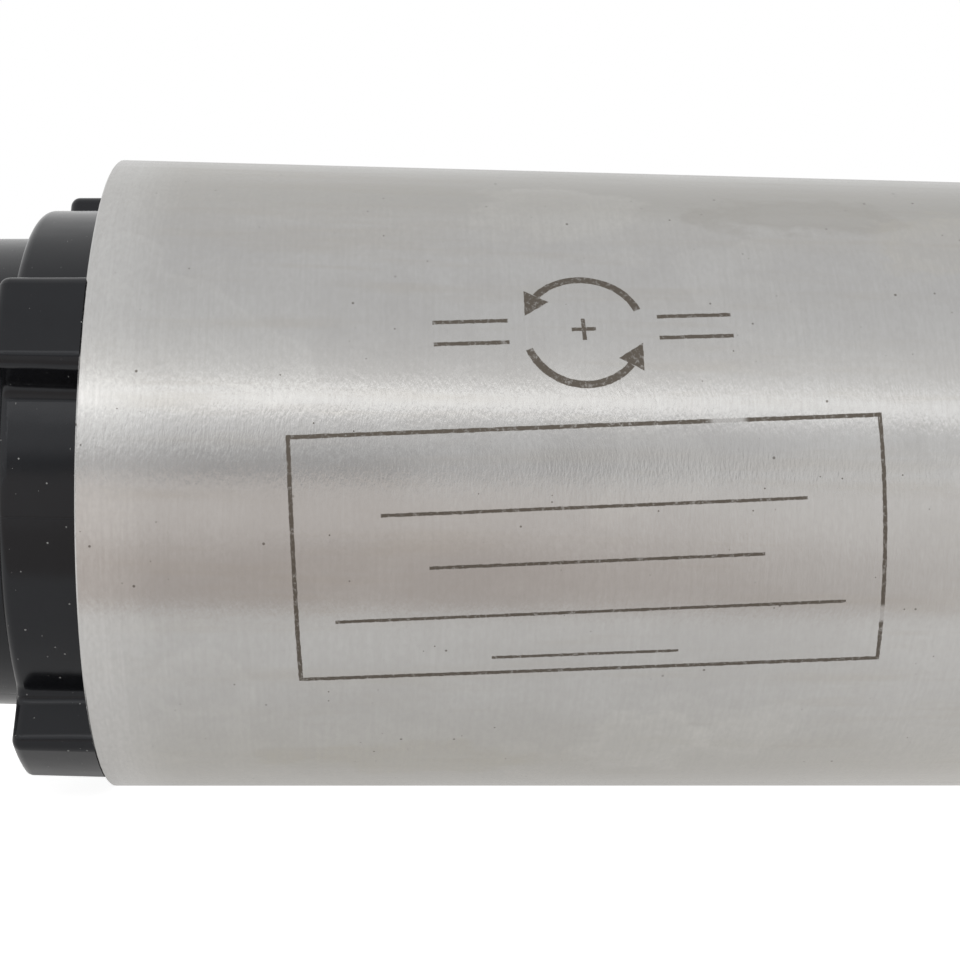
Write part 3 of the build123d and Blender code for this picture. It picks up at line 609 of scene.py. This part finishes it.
dress(
    cast_metal("cast_aluminium", rgb(0.58, 0.58, 0.575), rgb(0.50, 0.495, 0.485)),
    "rear_bracket", "front_housing", "rotor_end_rings",
)
dress(stacked_sheets("laminations"), "stator_core", "rotor_core")
dress(wound_copper(), "stator_windings")
dress(woven_phenolic(), "front_cages", "rear_cage")
dress(silicone_sleeve(), "motor_leads")


# ---- threads ----

SLICES = 48                # straight steps in each turn of a thread
CREST = 0.2                # flat left on a crest, as a share of the pitch
PROUD = 0.05               # how far a cutter stands out of the surface that it cuts, mm
MERGE = 1e-4               # points this near are one point to the cut, mm
SHARP = math.radians(28)   # edges that turn by more than this stay sharp


def take_alone(piece):
    """Makes a piece the only one selected, and the active one."""
    bpy.ops.object.select_all(action="DESELECT")
    piece.select_set(True)
    bpy.context.view_layer.objects.active = piece


def groove_cutter(start_x, turns, major_r, pitch, depth):
    """Closed helix of V section about the X axis, which cuts a thread. Sizes are in mm."""
    bpy.ops.object.select_all(action="DESELECT")
    bpy.ops.mesh.primitive_circle_add(vertices=3, radius=MM)
    cutter = bpy.context.object
    half = pitch * (1 - CREST) / 2 * (depth + PROUD) / depth
    corners = ((0, major_r - depth), (-half, major_r + PROUD), (half, major_r + PROUD))
    for vertex, (along, r) in zip(cutter.data.vertices, corners):
        vertex.co = Vector((start_x + along, 0, r)) * MM
    winding = cutter.modifiers.new("winding", "SCREW")
    winding.axis = "X"
    winding.screw_offset = pitch * MM
    winding.iterations = turns
    winding.steps = winding.render_steps = SLICES
    bpy.ops.object.modifier_apply(modifier="winding")
    bpy.ops.object.mode_set(mode="EDIT")
    bpy.ops.mesh.select_all(action="SELECT")
    bpy.ops.mesh.fill_holes(sides=3)
    bpy.ops.mesh.normals_make_consistent(inside=False)
    bpy.ops.object.mode_set(mode="OBJECT")
    return cutter


def cut_thread(name, node, body, slot, **thread):
    """A copy of a CAD node with a thread cut into it, in that node's place and finish."""
    piece = bpy.data.objects.new(name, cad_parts[node].data.copy())
    bpy.context.scene.collection.objects.link(piece)
    cutter = groove_cutter(**thread)
    take_alone(piece)
    bpy.ops.object.mode_set(mode="EDIT")
    bpy.ops.mesh.select_all(action="SELECT")
    bpy.ops.mesh.remove_doubles(threshold=MERGE * MM)
    bpy.ops.object.mode_set(mode="OBJECT")
    cut = piece.modifiers.new("cut", "BOOLEAN")
    cut.operation = "DIFFERENCE"
    cut.solver = "EXACT"
    cut.object = cutter
    bpy.ops.object.modifier_apply(modifier="cut")
    bpy.data.objects.remove(cutter)
    take_alone(piece)
    bpy.ops.object.shade_smooth_by_angle(angle=SHARP)
    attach(piece, body)
    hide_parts(node)


socket_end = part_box("power_socket")[0].x / MM
cut_thread(
    "threaded_socket", "power_socket", "housing", "nickel",
    start_x=socket_end - 0.4, turns=9, major_r=7.9, pitch=1.0, depth=0.55,
)
cut_thread(
    "threaded_shaft", "spindle_shaft", "rotor", "ground_steel",
    start_x=16.9, turns=15, major_r=7.0, pitch=0.75, depth=0.42,
)


# ---- floor and light ----

STUDIO_LEVEL = 0.84                  # the world's strength on the object
DIM_WAY = (-0.105, -0.9945, 0.0)     # direction of the studio's unlit opening
DIM_HALF = (19, 4)                   # its half width, outer and inner, degrees
FLOOR_SIZE = 6.0                     # metres


def lay_floor():
    """Pale floor. It looks white, with the object's shadow, and metal shows a dimmer strip in it.

    Y and X are in mm: the strip starts beside the object, towards -Y, and pales with distance.
    """
    bpy.ops.object.select_all(action="DESELECT")
    bpy.ops.mesh.primitive_plane_add(size=FLOOR_SIZE, location=(0, 0, FLOOR_Z))
    floor = bpy.context.object
    floor.name = "floor"
    f = Finish("pale_floor")
    beside = (f.y * -1).over(49.0, 7.0)        # 1 in the strip
    beyond = (f.y * -1).ramp(75.0, 115.0)      # 1 where it has paled
    strip = f.mix(beyond, rgb(0.76, 0.70, 0.665), rgb(0.90, 0.85, 0.82))
    noseward = f.x.ramp(-135.0, -60.0)         # 1 beside the tube's front end
    strip = f.mix(noseward, strip, rgb(1.0, 0.975, 0.955))
    tone = f.mix(beside, rgb(1.0, 0.99, 0.98), strip)
    glow = f.mix(noseward * (1 - beside), tone, rgb(1.236, 1.223, 1.211))

    # What rays that light the object meet, what its reflections show, and what the eye sees.
    lighting = f.diffuse(rgb(0.8, 0.8, 0.8))
    mirrored = f.mix_shaders(0.5, f.diffuse(tone), f.emission(glow, 1.06))
    lift = f.emission(rgb(1, 1, 1), 0.86)
    white = f.node("ShaderNodeAddShader", None, {0: lighting, 1: lift}).outputs[0]
    unseen = f.mix_shaders(f.ray_kind("Is Glossy Ray"), lighting, mirrored)
    seen = f.ray_kind("Is Camera Ray", "Is Transmission Ray")
    floor_look = f.mix_shaders(seen, unseen, white)
    f.node("ShaderNodeOutputMaterial", None, {"Surface": floor_look})
    floor.data.materials.append(f.material)


def light_world():
    """Soft light from all round, with a dim opening and three brighter windows. It looks white."""
    world = bpy.data.worlds.new("studio")
    bpy.context.scene.world = world
    s = Shader(world)
    way = s.node("ShaderNodeTexCoord").outputs["Generated"]
    dot = s.node("ShaderNodeVectorMath", {"operation": "DOT_PRODUCT"}, {0: way, 1: DIM_WAY})
    facing = Field(s, dot.outputs["Value"])
    outer, inner = (math.cos(math.radians(half)) for half in DIM_HALF)
    dim = facing.ramp(outer, inner)
    x, y, z = s.parts(way)
    front = (y * -1).over(0.25, 0.4)
    window = (z - x * 0.35).ramp(0.33, 0.42) * z.ramp(0.50, 0.82, 1.0, 0.0) * front
    nose_side = x.ramp(0.10, 0.34) * abs(z).ramp(0.06, 0.22, 1.0, 0.0) * front
    low_window = z.ramp(0.08, 0.19) * z.ramp(0.33, 0.45, 1.0, 0.0)
    low_window = low_window * x.ramp(-0.17, 0.05, 1.0, 0.0) * front
    color = s.mix(dim, rgb(1, 1, 1), rgb(0.60, 0.60, 0.605))
    color = s.mix(window, color, rgb(1.24, 1.23, 1.21))
    color = s.mix(low_window, color, rgb(1.34, 1.34, 1.34))
    color = s.mix(nose_side, color, rgb(1.30, 1.30, 1.30))
    seen = s.ray_kind("Is Camera Ray", "Is Transmission Ray")
    color = s.mix(seen, color, rgb(1, 1, 1))
    level = seen.ramp(0, 1, STUDIO_LEVEL, 1.0)
    back = s.node("ShaderNodeBackground", None, {"Color": color, "Strength": level})
    s.node("ShaderNodeOutputWorld", None, {"Surface": back.outputs[0]})


def hang_lamp(name, place, aim, size, power):
    """Soft lamp at a place in metres, facing another."""
    lamp = bpy.data.lights.new(name, "AREA")
    lamp.shape = "RECTANGLE"
    lamp.size, lamp.size_y = size
    lamp.energy = power
    holder = bpy.data.objects.new(name, lamp)
    holder.location = place
    holder.rotation_euler = (Vector(aim) - Vector(place)).to_track_quat("-Z", "Y").to_euler()
    bpy.context.scene.collection.objects.link(holder)


lay_floor()
light_world()
hang_lamp(
    "strip_lamp", place=(REAR_RIM + 0.05, -0.9, 0.44), aim=(REAR_RIM + 0.05, 0, 0),
    size=(1.6, 0.15), power=0.6,
)

bpy.context.scene.view_settings.view_transform = "Standard"
